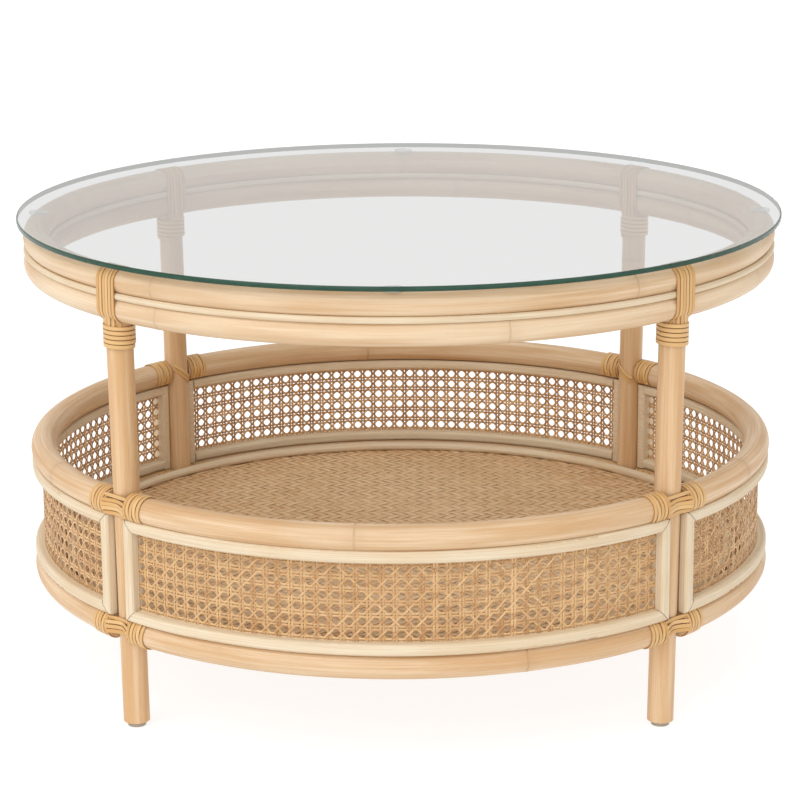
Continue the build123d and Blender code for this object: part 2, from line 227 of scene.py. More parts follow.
wood = blend_colours(tree, between(tree, broad, 0.34, 0.66), (0.6, 0.365, 0.18), (0.76, 0.565, 0.37))
wood = blend_colours(tree, between(tree, streak, 0.4, 0.68, 0.0, 0.55), wood, (0.56, 0.325, 0.145))
wood = blend_colours(tree, between(tree, fine, 0.45, 0.75, 0.0, 0.3), wood, (0.8, 0.62, 0.42))
wood = blend_colours(tree, between(tree, fleck, 0.66, 0.74, 0.0, 0.35), wood, (0.36, 0.2, 0.09))
wood = blend_colours(tree, joint_shade * 0.22, wood, (0.5, 0.29, 0.14))
line_share = joint_line * between(tree, broad, 0.35, 0.65, 0.12, 0.42)
wood = blend_colours(tree, line_share, wood, (0.33, 0.17, 0.07))
wood = blend_colours(tree, between(tree, tone, 0.0, 1.0, 0.0, 0.6), wood, (0.83, 0.7, 0.51))
wood = blend_colours(tree, between(tree, tone, -1.0, 0.0, 0.55, 0.0), wood, (0.66, 0.38, 0.16))
satin = between(tree, streak, 0.3, 0.7, 0.36, 0.5)
give_finish(tree, Base_Color=wood, Roughness=satin, Specular_IOR_Level=0.42)
give_finish(tree, Normal=relief(tree, streak * 0.6 + fine * 0.4 - joint_line * 1.5, 0.00022))


def start_tree(name, inputs):
    """A Geometry Nodes tree with these named inputs, and the node that hands them over."""
    tree = bpy.data.node_groups.new(name, "GeometryNodeTree")
    tree.interface.new_socket(name="Geometry", in_out="OUTPUT", socket_type="NodeSocketGeometry")
    for label, kind in {"Geometry": "Geometry", **inputs}.items():
        tree.interface.new_socket(name=label, in_out="INPUT", socket_type="NodeSocket" + kind)
    return tree, tie(tree, "NodeGroupInput")


def end_tree(tree, geometry, finish):
    solid = tie(tree, "GeometryNodeRealizeInstances", {}, [geometry])[0]
    dressed = tie(tree, "GeometryNodeSetMaterial", {}, {"Geometry": solid, "Material": finish})[0]
    tie(tree, "NodeGroupOutput", {}, {"Geometry": dressed})


def note(tree, geometry, name, value, kind="FLOAT"):
    """Keep a value on the geometry under a name that the finish can read."""
    sockets = {"Geometry": geometry, "Name": name, "Value": value}
    return tie(tree, "GeometryNodeStoreNamedAttribute", {"data_type": kind}, sockets)[0]


def smooth_sides(tree, swept):
    """Shade the long four-sided faces smooth and leave the cut ends flat."""
    corner_count = tie(tree, "GeometryNodeInputMeshFaceNeighbors")["Vertex Count"]
    sides = tie(tree, "FunctionNodeCompare", {"operation": "LESS_THAN"}, {"A": corner_count, "B": 5.0})[0]
    return tie(tree, "GeometryNodeSetShadeSmooth", {}, {"Geometry": swept, "Selection": sides})[0]


def path_of(name, runs):
    """A mesh of edges through each run: its points, the way each point faces, and whether it closes."""
    points, faces_way, tones, edges = [], [], [], []
    for number, (run, ways, closed) in enumerate(runs):
        first, count = len(points), len(run)
        points.extend(run)
        faces_way.extend(ways)
        tones.extend([(number * 0.618034) % 1.0] * count)
        edges.extend((first + n, first + n + 1) for n in range(count - 1))
        if closed:
            edges.append((first + count - 1, first))
    mesh = bpy.data.meshes.new(name)
    mesh.from_pydata([tuple(point) for point in points], edges, [])
    way = mesh.attributes.new("way", "FLOAT_VECTOR", "POINT")
    way.data.foreach_set("vector", np.array(faces_way, np.float32).ravel())
    tone = mesh.attributes.new("tone", "FLOAT", "POINT")
    tone.data.foreach_set("value", np.array(tones, np.float32))
    return mesh


def made_by(tree, name, path, **inputs):
    """Run a tree over a path and keep the result as a plain mesh in its place."""
    rough = bpy.data.objects.new(name + ".path", path)
    bpy.context.scene.collection.objects.link(rough)
    modifier = rough.modifiers.new(tree.name, "NODES")
    modifier.node_group = tree
    for item in tree.interface.items_tree:
        label = item.name.replace(" ", "_")
        if item.in_out == "INPUT" and label in inputs:
            modifier[item.identifier] = inputs[label]
    graph = bpy.context.evaluated_depsgraph_get()
    made = rough.evaluated_get(graph)
    mesh = bpy.data.meshes.new_from_object(made, preserve_all_data_layers=True, depsgraph=graph)
    rough.modifiers.remove(modifier)
    bpy.data.objects.remove(rough)
    mesh.name = name
    piece = bpy.data.objects.new(name, mesh)
    bpy.context.scene.collection.objects.link(piece)
    return piece


pole_inputs = {"Radius": "Float", "Joint spacing": "Float", "First joint": "Float", "Swelling": "Float"}
pole_inputs.update({"Waver": "Float", "Seed": "Float", "Tone": "Float", "Finish": "Material"})
pole_tree, given = start_tree("rattan_pole", pole_inputs)
line = tie(pole_tree, "GeometryNodeMeshToCurve", {}, [given["Geometry"]])[0]
ring_spacing, joint_width = 0.004, 0.006
rings = {"Curve": line, "Length": ring_spacing}
line = tie(pole_tree, "GeometryNodeResampleCurve", {"mode": "LENGTH"}, rings)[0]
run = tie(pole_tree, "GeometryNodeSplineParameter")["Length"]
turn = (run - given["First joint"]) / given["Joint spacing"] + 0.5
to_joint = (turn.sum("FRACT", turn) - 0.5) * given["Joint spacing"]
closeness = to_joint * to_joint * (-1.0 / joint_width**2)
bulge = closeness.sum("EXPONENT", closeness)
spot = tie(pole_tree, "GeometryNodeInputPosition")[0]
seed_shift = tie(pole_tree, "ShaderNodeCombineXYZ", {}, [given["Seed"], given["Seed"], given["Seed"]])[0]
spot = tie(pole_tree, "ShaderNodeVectorMath", {"operation": "ADD"}, [spot, seed_shift])[0]
uneven = tie(pole_tree, "ShaderNodeTexNoise", {}, {"Vector": spot, "Scale": 7.0, "Detail": 1.0})[0]
girth = bulge * given["Swelling"] + (uneven - 0.5) * given["Waver"] + 1.0
line = note(pole_tree, line, "along", run + given["Seed"])
line = note(pole_tree, line, "joint", to_joint)
line = note(pole_tree, line, "tone", (uneven - 0.5) * 1.2 + given["Tone"])
round_section = {"Resolution": 32, "Radius": given["Radius"]}
circle = tie(pole_tree, "GeometryNodeCurvePrimitiveCircle", {}, round_section)[0]
from_middle = tie(pole_tree, "GeometryNodeInputPosition")[0]
around = tie(pole_tree, "ShaderNodeVectorMath", {"operation": "NORMALIZE"}, [from_middle])[0]
circle = note(pole_tree, circle, "ring", around, "FLOAT_VECTOR")
swept = {"Curve": line, "Profile Curve": circle, "Scale": girth, "Fill Caps": True}
pole = tie(pole_tree, "GeometryNodeCurveToMesh", {}, swept)[0]
end_tree(pole_tree, smooth_sides(pole_tree, pole), given["Finish"])

CORNERS = {"front_left": -135.0, "front_right": -45.0, "back_right": 45.0, "back_left": 135.0}
SIDES = {"front": -90.0, "right": 0.0, "back": 90.0, "left": 180.0}


def arc_points(radius, z, start, end, count):
    turns = np.radians(np.linspace(start, end, count))
    return [(radius * math.cos(a), radius * math.sin(a), z) for a in turns]


def grow_pole(name, node, points, closed, radius, spacing, first, seed, tone=0.0, swelling=0.02, waver=0.03):
    path = path_of(name, [(points, [(0.0, 0.0, 1.0)] * len(points), closed)])
    sizes = {"Radius": radius, "Joint_spacing": spacing, "First_joint": first, "Swelling": swelling}
    pole = made_by(pole_tree, name, path, Waver=waver, Seed=seed, Tone=tone, Finish=pole_finish, **sizes)
    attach(pole, "frame")
    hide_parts(node)


hoop_low, hoop_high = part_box("top_hoop_upper")
pole_radius = (hoop_high.z - hoop_low.z) / 2
hoop_radius = (hoop_high.x - hoop_low.x) / 2 - pole_radius
hoop_girth = 2 * math.pi * hoop_radius
hoop_tone = 0.45
hoop_heights = {}
for level_name, joint_count, first_joint, seed in [("upper", 5, 0.119, 3.1), ("lower", 7, 0.1914, 8.7)]:
    node = f"top_hoop_{level_name}"
    low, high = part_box(node)
    hoop_heights[level_name] = (low.z + high.z) / 2
    points = arc_points(hoop_radius, hoop_heights[level_name], 0.0, 360.0, 361)[:-1]
    growth = (pole_radius, hoop_girth / joint_count, first_joint, seed, hoop_tone)
    grow_pole(f"hoop_pole_{level_name}", node, points, True, *growth)

leg_radius, leg_joint_spacing, leg_tone, leg_swelling = 0.01325, 0.9, -0.55, 0.01
leg_feet, leg_tops = {}, {}
for corner, first_joint in zip(CORNERS, (0.61, 0.55, 0.36, 0.58)):
    low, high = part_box(f"leg_{corner}")
    glide_low, glide_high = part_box(f"foot_glide_{corner}")
    foot = (glide_low + glide_high) / 2
    foot.z = glide_high.z
    reach_x = max(abs(low.x), abs(high.x)) - leg_radius
    reach_y = max(abs(low.y), abs(high.y)) - leg_radius
    top = Vector((math.copysign(reach_x, foot.x), math.copysign(reach_y, foot.y), high.z))
    leg_feet[corner], leg_tops[corner] = foot, top
    points = [tuple(foot.lerp(top, share)) for share in np.linspace(0.0, 1.0, 60)]
    seed = 11.0 + 3.7 * len(leg_feet)
    growth = (leg_radius, leg_joint_spacing, first_joint, seed, leg_tone, leg_swelling)
    grow_pole(f"leg_pole_{corner}", f"leg_{corner}", points, False, *growth)

rail_heights = {}
rail_end_gap, rail_joint_spacing = 0.0002, 0.45
rail_half_turn = 45.0 - math.degrees(math.asin((leg_radius + rail_end_gap) / hoop_radius))
rail_tones = {"top": 0.1, "floor": -0.05}
rail_joints = {"top": (0.248, 0.12, 0.33, 0.458), "floor": (0.41, 0.2, 0.1, 0.3)}
for row, joints in rail_joints.items():
    for (side, middle), first_joint in zip(SIDES.items(), joints):
        node = f"basket_{row}_rail_{side}"
        low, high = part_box(node)
        rail_heights[row] = (low.z + high.z) / 2
        ends = (middle - rail_half_turn, middle + rail_half_turn)
        points = arc_points(hoop_radius, rail_heights[row], *ends, 97)
        seed = 30.0 + middle * 0.11 + rail_heights[row] * 40.0
        growth = (pole_radius, rail_joint_spacing, first_joint, seed, rail_tones[row])
        grow_pole(f"rail_pole_{row}_{side}", node, points, False, *growth)


# The cream strips: frames of rattan core, flat against the webbing and rounded outside, mitred
# at the corners and pinned. The groove canes and the bead are thin round canes of the same core.
def core_finish(name, node, mitred):
    material, tree = start_finish(name)
    low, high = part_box(node)
    place = spot_on(tree)
    split = tie(tree, "ShaderNodeSeparateXYZ", {}, [place])
    x, y, z = split[0], split[1], split[2]
    turn = x.sum("ARCTAN2", y, x)
    out = x.sum("SQRT", x * x + y * y)
    arc = turn * hoop_radius
    slow, quick, mitre_slope = 9.0, 620.0, 1.012
    lengthwise = tie(tree, "ShaderNodeCombineXYZ", {}, [arc * slow, z * quick, out * quick])[0]
    line = 0.0
    if mitred:
        quarter = turn / (math.pi / 2) + 0.5
        from_middle = (quarter.sum("FRACT", quarter) - 0.5) * (math.pi / 2)
        inward = (math.asin(high.y / high.x) - from_middle.sum("ABSOLUTE", from_middle)) * high.x
        to_edge = z.sum("MINIMUM", z - low.z, high.z - z)
        upright = z.sum("LESS_THAN", inward * mitre_slope, to_edge)
        upwards = tie(tree, "ShaderNodeCombineXYZ", {}, [arc * quick, z * slow, out * quick])[0]
        sockets = {0: upright, 4: lengthwise, 5: upwards}
        lengthwise = tie(tree, "ShaderNodeMix", {"data_type": "VECTOR"}, sockets)[1]
        slant = inward * mitre_slope - to_edge
        line = between(tree, slant.sum("ABSOLUTE", slant), 0.0002, 0.0007, 1.0, 0.0)
    streak = grain(tree, lengthwise, 1.0, 4.0, 0.65)
    broad = grain(tree, place, 14.0, 2.0)
    pore = grain(tree, lengthwise, 2.6, 2.0, 0.7)
    core = blend_colours(tree, between(tree, streak, 0.3, 0.7), (0.655, 0.505, 0.33), (0.78, 0.67, 0.5))
    core = blend_colours(tree, between(tree, broad, 0.4, 0.7, 0.0, 0.4), core, (0.68, 0.5, 0.3))
    core = blend_colours(tree, between(tree, pore, 0.62, 0.72, 0.0, 0.4), core, (0.44, 0.31, 0.18))
    core = blend_colours(tree, line * 0.8, core, (0.16, 0.09, 0.04))
    give_finish(tree, Base_Color=core, Roughness=between(tree, streak, 0.3, 0.7, 0.5, 0.62))
    give_finish(tree, Specular_IOR_Level=0.35, Normal=relief(tree, streak - line * 2.0, 0.00018))
    return material


def wear(node, material):
    """Give a CAD piece its finish."""
    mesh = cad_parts[node].data
    mesh.materials.clear()
    mesh.materials.append(material)


outer_core = core_finish("outer_strip_core", "outer_frame_right", True)
inner_core = core_finish("inner_strip_core", "inner_frame_right", False)
round_core = core_finish("round_cane_core", "shelf_bead", False)
for side in SIDES:
    wear(f"outer_frame_{side}", outer_core)
    wear(f"inner_frame_{side}", inner_core)
for node in ("groove_cane_outer", "groove_cane_inner", "shelf_bead"):
    wear(node, round_core)


# The cane webbing: split cane woven six ways at a half-inch pitch, in upright and level pairs
# with one slanting strand each way, which leaves rows of eight-sided holes.
cane_finish, tree = start_finish("woven_cane")
tone = kept(tree, "tone")
place = spot_on(tree)
mottle = grain(tree, place, 210.0, 3.0, 0.6)
cloud = grain(tree, place, 9.0, 2.0)
cane = blend_colours(tree, tone, (0.42, 0.2, 0.068), (0.76, 0.48, 0.23))
cane = blend_colours(tree, between(tree, mottle, 0.4, 0.75, 0.0, 0.5), cane, (0.8, 0.57, 0.31))
cane = blend_colours(tree, between(tree, cloud, 0.45, 0.75, 0.0, 0.45), cane, (0.5, 0.25, 0.09))
give_finish(tree, Base_Color=cane, Roughness=between(tree, mottle, 0.3, 0.7, 0.34, 0.5))
give_finish(tree, Specular_IOR_Level=0.5, Normal=relief(tree, mottle, 0.0001))

cane_inputs = {"Pitch": "Float", "Pair spread": "Float", "Pair width": "Float", "Slant width": "Float"}
cane_inputs.update({"Thickness": "Float", "Rise": "Float", "Radius": "Float", "Half length": "Float"})
cane_inputs.update({"Low": "Float", "High": "Float", "Columns": "Int", "Rows": "Int", "Slants": "Int"})
cane_inputs.update({"Turn": "Float", "Seed": "Int", "Finish": "Material"})
cane_tree, given = start_tree("cane_webbing", cane_inputs)
pitch, half_length = given["Pitch"], given["Half length"]
height = given["High"] - given["Low"]


def corner_of(x, y, z=0.0):
    return tie(cane_tree, "ShaderNodeCombineXYZ", {}, [x, y, z])[0]


def joined(tree, parts):
    join = tree.nodes.new("GeometryNodeJoinGeometry")
    for part in parts:
        tree.links.new(part.socket, join.inputs[0])
    return Thread(join.outputs[0])


def faced_out(tree, line):
    """Turn a strand's flat side to the way that is kept along its line."""
    way = tie(tree, "GeometryNodeInputNamedAttribute", {"data_type": "FLOAT_VECTOR"}, {"Name": "way"})[0]
    return tie(tree, "GeometryNodeSetCurveNormal", {"mode": "FREE"}, {"Curve": line, "Normal": way})[0]


def laid_strands(start, end, first, step, count, wave_axis, lift, shift):
    """Flat strands from start to end, repeated by a step, that wave over and under in rows."""
    strand = tie(cane_tree, "GeometryNodeCurvePrimitiveLine", {}, {"Start": start, "End": end})[0]
    row = {"Count": count, "Start Location": first, "Offset": step}
    places = tie(cane_tree, "GeometryNodeMeshLine", {}, row)[0]
    strands = tie(cane_tree, "GeometryNodeInstanceOnPoints", {}, {"Points": places, "Instance": strand})[0]
    strands = tie(cane_tree, "GeometryNodeRealizeInstances", {}, [strands])[0]
    length = {"Curve": strands, "Length": pitch * (0.25 if wave_axis != "slant" else 0.35355)}
    strands = tie(cane_tree, "GeometryNodeResampleCurve", {"mode": "LENGTH"}, length)[0]
    spot = tie(cane_tree, "ShaderNodeSeparateXYZ", {}, [tie(cane_tree, "GeometryNodeInputPosition")[0]])
    phase = spot[1 if wave_axis == "upright" else 0] / pitch * (2 * math.pi)
    rise = phase.sum("COSINE", phase) * lift + shift
    strands = note(cane_tree, strands, "rise", rise)
    which = tie(cane_tree, "GeometryNodeCurveOfPoint")["Curve Index"]
    shade = tie(cane_tree, "FunctionNodeRandomValue", {}, {"ID": which, "Seed": given["Seed"]})[1]
    return note(cane_tree, strands, "tone", shade)


columns_start = pitch * ((given["Columns"] - 1) * -0.5)
slant_shift = 0.45
pairs, slants = [], []
for hand in (-1.0, 1.0):
    spread = given["Pair spread"] * hand
    ends = (corner_of(0.0, 0.0), corner_of(0.0, height))
    row = (corner_of(columns_start + spread, 0.0), corner_of(pitch, 0.0), given["Columns"])
    pairs.append(laid_strands(*ends, *row, "upright", given["Rise"], 0.0))
    ends = (corner_of(half_length * -1, 0.0), corner_of(half_length, 0.0))
    row = (corner_of(0.0, spread), corner_of(0.0, pitch), given["Rows"])
    pairs.append(laid_strands(*ends, *row, "level", given["Rise"] * -1, 0.0))
    slant_foot = pitch * given["Columns"] * -0.5 - (pitch * given["Rows"] if hand > 0 else 0.0)
    ends = (corner_of(0.0, 0.0), corner_of(height * hand, height))
    row = (corner_of(slant_foot, 0.0), corner_of(pitch, 0.0), given["Slants"])
    slants.append(laid_strands(*ends, *row, "slant", given["Rise"], given["Rise"] * (slant_shift * hand)))


def swept_cane(strands, width):
    """Bend flat strands round the table and give them a flat section with the face outwards."""
    spot = tie(cane_tree, "ShaderNodeSeparateXYZ", {}, [tie(cane_tree, "GeometryNodeInputPosition")[0]])
    x, y = spot[0], spot[1]
    beside = x.sum("GREATER_THAN", x.sum("ABSOLUTE", x), half_length * 1.0001)
    over = x.sum("GREATER_THAN", y, height * 1.0001)
    under = x.sum("LESS_THAN", y, -0.0001)
    outside = beside + over + under
    cut = tie(cane_tree, "GeometryNodeDeleteGeometry", {}, [joined(cane_tree, strands), outside])[0]
    spot = tie(cane_tree, "ShaderNodeSeparateXYZ", {}, [tie(cane_tree, "GeometryNodeInputPosition")[0]])
    rise = tie(cane_tree, "GeometryNodeInputNamedAttribute", {}, {"Name": "rise"})[0]
    turn = spot[0] / given["Radius"] + given["Turn"]
    reach = given["Radius"] + rise
    cosine, sine = turn.sum("COSINE", turn), turn.sum("SINE", turn)
    bent = corner_of(cosine * reach, sine * reach, spot[1] + given["Low"])
    cut = note(cane_tree, cut, "way", corner_of(cosine, sine), "FLOAT_VECTOR")
    bent_line = tie(cane_tree, "GeometryNodeSetPosition", {}, {"Geometry": cut, "Position": bent})[0]
    faced = faced_out(cane_tree, bent_line)
    flat_section = {0: given["Thickness"], 1: width}
    section = tie(cane_tree, "GeometryNodeCurvePrimitiveQuadrilateral", {}, flat_section)[0]
    sweep = {"Curve": faced, "Profile Curve": section, "Scale": 1.0, "Fill Caps": True}
    return tie(cane_tree, "GeometryNodeCurveToMesh", {}, sweep)[0]


woven = [swept_cane(pairs, given["Pair width"]), swept_cane(slants, given["Slant width"])]
end_tree(cane_tree, joined(cane_tree, woven), given["Finish"])

cane_pitch, cane_rows, webbing_thickness = 0.0127, 9, 0.0012
cane_low, cane_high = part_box("cane_panel_right")
cane_radius = cane_high.x - webbing_thickness / 2
cane_height = cane_pitch * (cane_rows - 1)
cane_bottom = (cane_low.z + cane_high.z) / 2 - cane_height / 2
cane_sizes = {
    "Pitch": cane_pitch,
    "Pair_spread": 0.00155,
    "Pair_width": 0.0019,
    "Slant_width": 0.0019,
    "Thickness": 0.00034,
    "Rise": 0.00034,
    "Radius": cane_radius,
    "Half_length": cane_radius * math.asin(cane_high.y / cane_high.x),
    "Low": cane_bottom,
    "High": cane_bottom + cane_height,
    "Columns": 45,
    "Rows": cane_rows,
    "Slants": 56,
    "Finish": cane_finish,
}
for number, (side, middle) in enumerate(SIDES.items()):
    start = path_of("cane", [([(0, 0, 0)], [(0, 0, 1)], False)])
    place_on_ring = {"Turn": math.radians(middle), "Seed": 5 + number}
    panel = made_by(cane_tree, f"woven_cane_{side}", start, **place_on_ring, **cane_sizes)
    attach(panel, "frame")
    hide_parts(f"cane_panel_{side}")


# The mat on the basket floor: flat rattan strips about 9 mm wide, woven over two and under two
# at 45 degrees to the front, and cut round so that the bead covers the cut ends.
mat_finish, tree = start_finish("woven_mat_strips")
tone = kept(tree, "tone")
along = kept(tree, "along")
side_way = kept(tree, "beside")
place = spot_on(tree)
fibre = tie(tree, "ShaderNodeCombineXYZ", {}, [along * 14.0, side_way * 900.0, tone * 90.0])[0]
streak = grain(tree, fibre, 1.0, 4.0, 0.65)
cloud = grain(tree, place, 6.0, 3.0, 0.6)
# Painted shade: each strip darkens patchily toward its long edges, standing in for the shade in the slits
# between neighbouring strips.
painted_edge_shade = between(tree, side_way.sum("ABSOLUTE", side_way), 0.0033, 0.0043)
mat = blend_colours(tree, tone, (0.66, 0.41, 0.205), (0.79, 0.55, 0.32))
mat = blend_colours(tree, between(tree, streak, 0.35, 0.7, 0.0, 0.5), mat, (0.6, 0.35, 0.165))
mat = blend_colours(tree, between(tree, cloud, 0.4, 0.7, 0.0, 0.5), mat, (0.82, 0.58, 0.34))
painted_slit_shade = painted_edge_shade * between(tree, grain(tree, place, 48.0), 0.38, 0.62, 0.1, 0.85)
mat = blend_colours(tree, painted_slit_shade, mat, (0.3, 0.15, 0.06))
give_finish(tree, Base_Color=mat, Roughness=between(tree, streak, 0.3, 0.7, 0.45, 0.6))
give_finish(tree, Specular_IOR_Level=0.4, Normal=relief(tree, streak, 0.00012))

mat_inputs = {"Strip": "Float", "Gap": "Float", "Thickness": "Float", "Rise": "Float", "Radius": "Float"}
mat_inputs.update({"Height": "Float", "Count": "Int", "Seed": "Int", "Finish": "Material"})
mat_tree, given = start_tree("twill_mat", mat_inputs)
strip = given["Strip"]
mat_layers = []
for hand in (0, 1):
    count = given["Count"] * 1.0
    reach = strip * (count - 1) * 0.5
    ends = [tie(mat_tree, "ShaderNodeCombineXYZ", {}, [reach * way, 0.0, 0.0])[0] for way in (-1, 1)]
    strand = tie(mat_tree, "GeometryNodeCurvePrimitiveLine", {}, {"Start": ends[0], "End": ends[1]})[0]
    strand = tie(mat_tree, "GeometryNodeResampleCurve", {}, {"Curve": strand, "Count": given["Count"]})[0]
    first = tie(mat_tree, "ShaderNodeCombineXYZ", {}, [0.0, reach * -1, 0.0])[0]
    step = tie(mat_tree, "ShaderNodeCombineXYZ", {}, [0.0, strip, 0.0])[0]
    row = {"Count": given["Count"], "Start Location": first, "Offset": step}
    rows = tie(mat_tree, "GeometryNodeMeshLine", {}, row)[0]
    laid = tie(mat_tree, "GeometryNodeInstanceOnPoints", {}, {"Points": rows, "Instance": strand})[0]
    laid = tie(mat_tree, "GeometryNodeRealizeInstances", {}, [laid])[0]
    spot = tie(mat_tree, "ShaderNodeSeparateXYZ", {}, [tie(mat_tree, "GeometryNodeInputPosition")[0]])
    x, y = spot[0], spot[1]
    column = ((x + reach) / strip).sum("ROUND", (x + reach) / strip)
    lane = ((y + reach) / strip).sum("ROUND", (y + reach) / strip)
    step_over = (column + lane) / 4.0 if hand == 0 else (column - lane + (given["Count"] + 1.0)) / 4.0
    over = step_over.sum("GREATER_THAN", 0.49, step_over.sum("FRACT", step_over + 0.0001))
    lift = (over * 2.0 - 1.0) * given["Rise"]
    which = tie(mat_tree, "GeometryNodeCurveOfPoint")["Curve Index"]
    random = {"ID": which, "Seed": given["Seed"] + hand}
    laid = note(mat_tree, laid, "tone", tie(mat_tree, "FunctionNodeRandomValue", {}, random)[1])
    laid = note(mat_tree, laid, "along", x + lane * 0.37)
    raised = tie(mat_tree, "ShaderNodeCombineXYZ", {}, [x, y, lift + given["Height"]])[0]
    laid = tie(mat_tree, "GeometryNodeSetPosition", {}, {"Geometry": laid, "Position": raised})[0]
    far = x.sum("SQRT", x * x + y * y)
    beyond = far.sum("GREATER_THAN", far, given["Radius"])
    laid = tie(mat_tree, "GeometryNodeDeleteGeometry", {}, [laid, beyond])[0]
    angle = math.radians(45.0 + 90.0 * hand)
    turned = {"Geometry": laid, "Rotation": (0.0, 0.0, angle)}
    mat_layers.append(tie(mat_tree, "GeometryNodeTransform", {}, turned)[0])
face_up = {"Curve": joined(mat_tree, mat_layers), "Normal": (0.0, 0.0, 1.0)}
faced = tie(mat_tree, "GeometryNodeSetCurveNormal", {"mode": "FREE"}, face_up)[0]
flat_section = {0: given["Thickness"], 1: strip - given["Gap"]}
section = tie(mat_tree, "GeometryNodeCurvePrimitiveQuadrilateral", {}, flat_section)[0]
across_strip = tie(mat_tree, "ShaderNodeSeparateXYZ", {}, [tie(mat_tree, "GeometryNodeInputPosition")[0]])[1]
section = note(mat_tree, section, "beside", across_strip)
sweep = {"Curve": faced, "Profile Curve": section, "Scale": 1.0, "Fill Caps": True}
end_tree(mat_tree, tie(mat_tree, "GeometryNodeCurveToMesh", {}, sweep)[0], given["Finish"])

mat_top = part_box("shelf_mat")[1].z
mat_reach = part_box("shelf_bead")[1].x - 0.003
sizes = {"Strip": 0.009, "Gap": 0.0004, "Thickness": 0.0005, "Rise": 0.0004, "Radius": mat_reach}
sizes.update({"Height": mat_top - 0.0009, "Count": 81, "Seed": 3, "Finish": mat_finish})
mat_piece = made_by(mat_tree, "twill_mat", path_of("mat", [([(0, 0, 0)], [(0, 0, 1)], False)]), **sizes)
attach(mat_piece, "frame")
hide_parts("shelf_mat")


# The bindings: flat strands of glossy rattan peel. Six run over both hoops and are caught under
# a collar wound five times round the leg. Others wrap the rail ends and cross the leg.
peel_finish, tree = start_finish("rattan_peel")
tone = kept(tree, "tone")
along = kept(tree, "along")
section_spot = kept(tree, "beside", "Vector")
across_peel = tie(tree, "ShaderNodeSeparateXYZ", {}, [section_spot])[1]
fibre = tie(tree, "ShaderNodeCombineXYZ", {}, [along * 30.0, across_peel * 1500.0, tone * 70.0])[0]
streak = grain(tree, fibre, 1.0, 3.0, 0.6)
# Painted shade: each strand darkens toward its long edges, standing in for the shade in the gaps between
# neighbouring strands.
painted_edge_shade = between(tree, across_peel.sum("ABSOLUTE", across_peel), 0.0015, 0.0023)
peel = blend_colours(tree, tone, (0.64, 0.36, 0.125), (0.77, 0.51, 0.235))
peel = blend_colours(tree, between(tree, streak, 0.35, 0.7, 0.0, 0.5), peel, (0.56, 0.29, 0.09))
peel = blend_colours(tree, painted_edge_shade * 0.75, peel, (0.3, 0.14, 0.04))
give_finish(tree, Base_Color=peel, Roughness=between(tree, streak, 0.3, 0.7, 0.27, 0.4))
give_finish(tree, Specular_IOR_Level=0.5, Normal=relief(tree, streak, 0.0001))

peel_inputs = {"Width": "Float", "Thickness": "Float", "Round": "Float", "Finish": "Material"}
peel_tree, given = start_tree("wound_peel", peel_inputs)
line = tie(peel_tree, "GeometryNodeMeshToCurve", {}, [given["Geometry"]])[0]
line = note(peel_tree, line, "along", tie(peel_tree, "GeometryNodeSplineParameter")["Length"])
line = faced_out(peel_tree, line)
flat_section = {0: given["Thickness"], 1: given["Width"]}
section = tie(peel_tree, "GeometryNodeCurvePrimitiveQuadrilateral", {}, flat_section)[0]
rounded = {"Curve": section, "Count": 3, "Radius": given["Round"]}
section = tie(peel_tree, "GeometryNodeFilletCurve", {"mode": "POLY"}, rounded)[0]
section = note(peel_tree, section, "beside", tie(peel_tree, "GeometryNodeInputPosition")[0], "FLOAT_VECTOR")
sweep = {"Curve": line, "Profile Curve": section, "Scale": 1.0, "Fill Caps": True}
wound = tie(peel_tree, "GeometryNodeCurveToMesh", {}, sweep)[0]
end_tree(peel_tree, smooth_sides(peel_tree, wound), given["Finish"])

peel_width, peel_thickness, peel_gap = 0.0039, 0.0012, 0.0001
strap_strands, strap_pitch, strap_waver, strap_tuck = 6, 0.0045, 0.00025, 0.005
collar_turns, collar_pitch, collar_gap, collar_lift = 5, 0.0046, 0.0003, 0.0002
collar_start, collar_tuck = 2.6, 0.0012
rail_peel_width, rail_peel_gap, strip_gap = 0.0041, 0.00035, 0.0006
rail_turns, rail_pitch, rail_sway = 5, 0.0046, 0.0005
wrap_start, bridge_overlap, bridge_sag = 0.015, 0.002, 0.0003
crossing_half_turn, crossing_slope, crossing_pitch = 48.0, 0.84, 0.0056
hoop_reach = pole_radius + peel_gap + peel_thickness / 2
leg_reach = leg_radius + peel_gap + peel_thickness / 2
rail_reach = pole_radius + rail_peel_gap + peel_thickness / 2


def leg_axis(corner, z):
    """Distance of a leg's middle from the middle of the table at this height."""
    foot, top = leg_feet[corner], leg_tops[corner]
    return foot.lerp(top, (z - foot.z) / (top.z - foot.z)).xy.length


def around_table(angle, runs):
    """Runs drawn in a corner's own frame (outward, sideways, up), turned to their corner."""
    c, s = math.cos(math.radians(angle)), math.sin(math.radians(angle))

    def turned(vectors):
        return [(x * c - y * s, x * s + y * c, z) for x, y, z in vectors]

    return [(turned(points), turned(ways), closed) for points, ways, closed in runs]


def strap_run(axis, offset, tuck_z):
    """One strand up the outside of both hoops, over the top, and down the inside."""
    low_z, high_z = hoop_heights["lower"], hoop_heights["upper"]
    chord = math.sqrt(leg_reach**2 - offset**2)
    lean_out = math.acos(min(1.0, (axis + chord - hoop_radius) / hoop_reach))
    lean_in = math.acos(min(1.0, (hoop_radius - axis + chord) / hoop_reach))
    arcs = [(low_z, np.linspace(-lean_out, 0.0, 9)), (high_z, np.linspace(0.0, math.pi, 21))]
    arcs.append((low_z, np.linspace(math.pi, math.pi + lean_in, 9 if lean_in > 0.0 else 1)))
    points, ways = [(axis + chord, offset, tuck_z)], [(chord, offset, 0.0)]
    for z, turns in arcs:
        for a in turns:
            points.append((hoop_radius + hoop_reach * math.cos(a), offset, z + hoop_reach * math.sin(a)))
            ways.append((math.cos(a), 0.0, math.sin(a)))
    points.append((axis - chord, offset, tuck_z))
    ways.append((-chord, offset, 0.0))
    return points, ways, False


